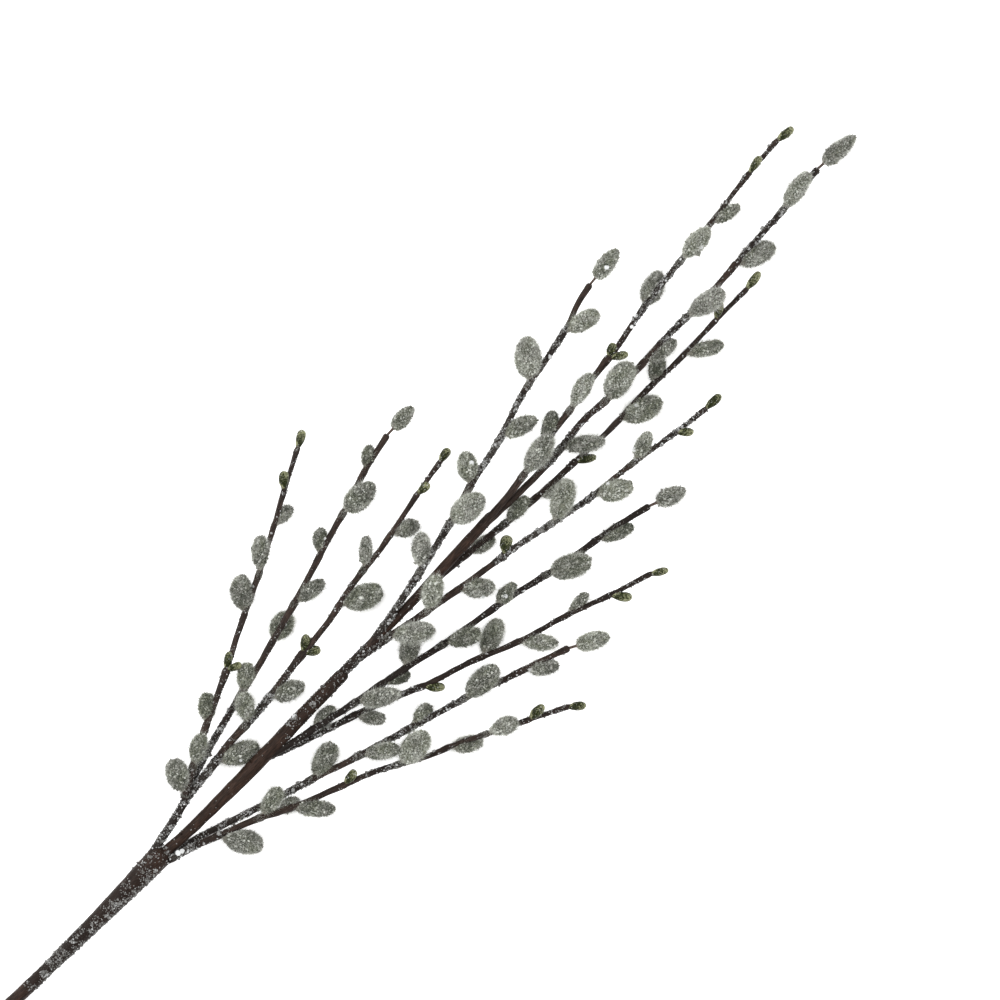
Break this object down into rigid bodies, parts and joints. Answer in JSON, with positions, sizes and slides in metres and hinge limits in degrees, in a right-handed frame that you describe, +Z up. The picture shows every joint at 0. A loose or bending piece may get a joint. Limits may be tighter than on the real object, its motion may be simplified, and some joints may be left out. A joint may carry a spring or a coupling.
{
  "type": "pussy willow branch",
  "caption": "Cut pussy-willow spray lying down: a brown wrapped stem forks into slender twigs that carry frosted grey-green catkins and small olive buds.",
  "frame": {"origin": "middle of the whole branch in length and width, on the surface it lies on", "axes": "+X along the main stem from its cut end to the tip, +Y to the left of the stem seen from above, +Z up from the surface"},
  "size_m": [0.794, 0.2378, 0.0415],
  "materials": {
    "bark": "satin dark brown with fine lengthwise grain",
    "catkin": "grey-green and granular, with a sugar-like frost",
    "bud": "olive green, semi-gloss, with a few frost grains",
    "frost": "small white and grey grains"
  },
  "bodies": {
    "root": {"main_stem": "bark", "left_low_inner": "catkin", "left_low_middle": "catkin", "left_low_outer": "catkin", "right_low_inner": "catkin", "right_low_outer": "catkin", "right_mid_inner": "catkin", "right_mid_outer": "catkin", "left_high": "catkin", "right_high": "catkin", "tip_left": "catkin", "tip_middle": "catkin", "tip_right": "catkin"}
  },
  "joints": []
}
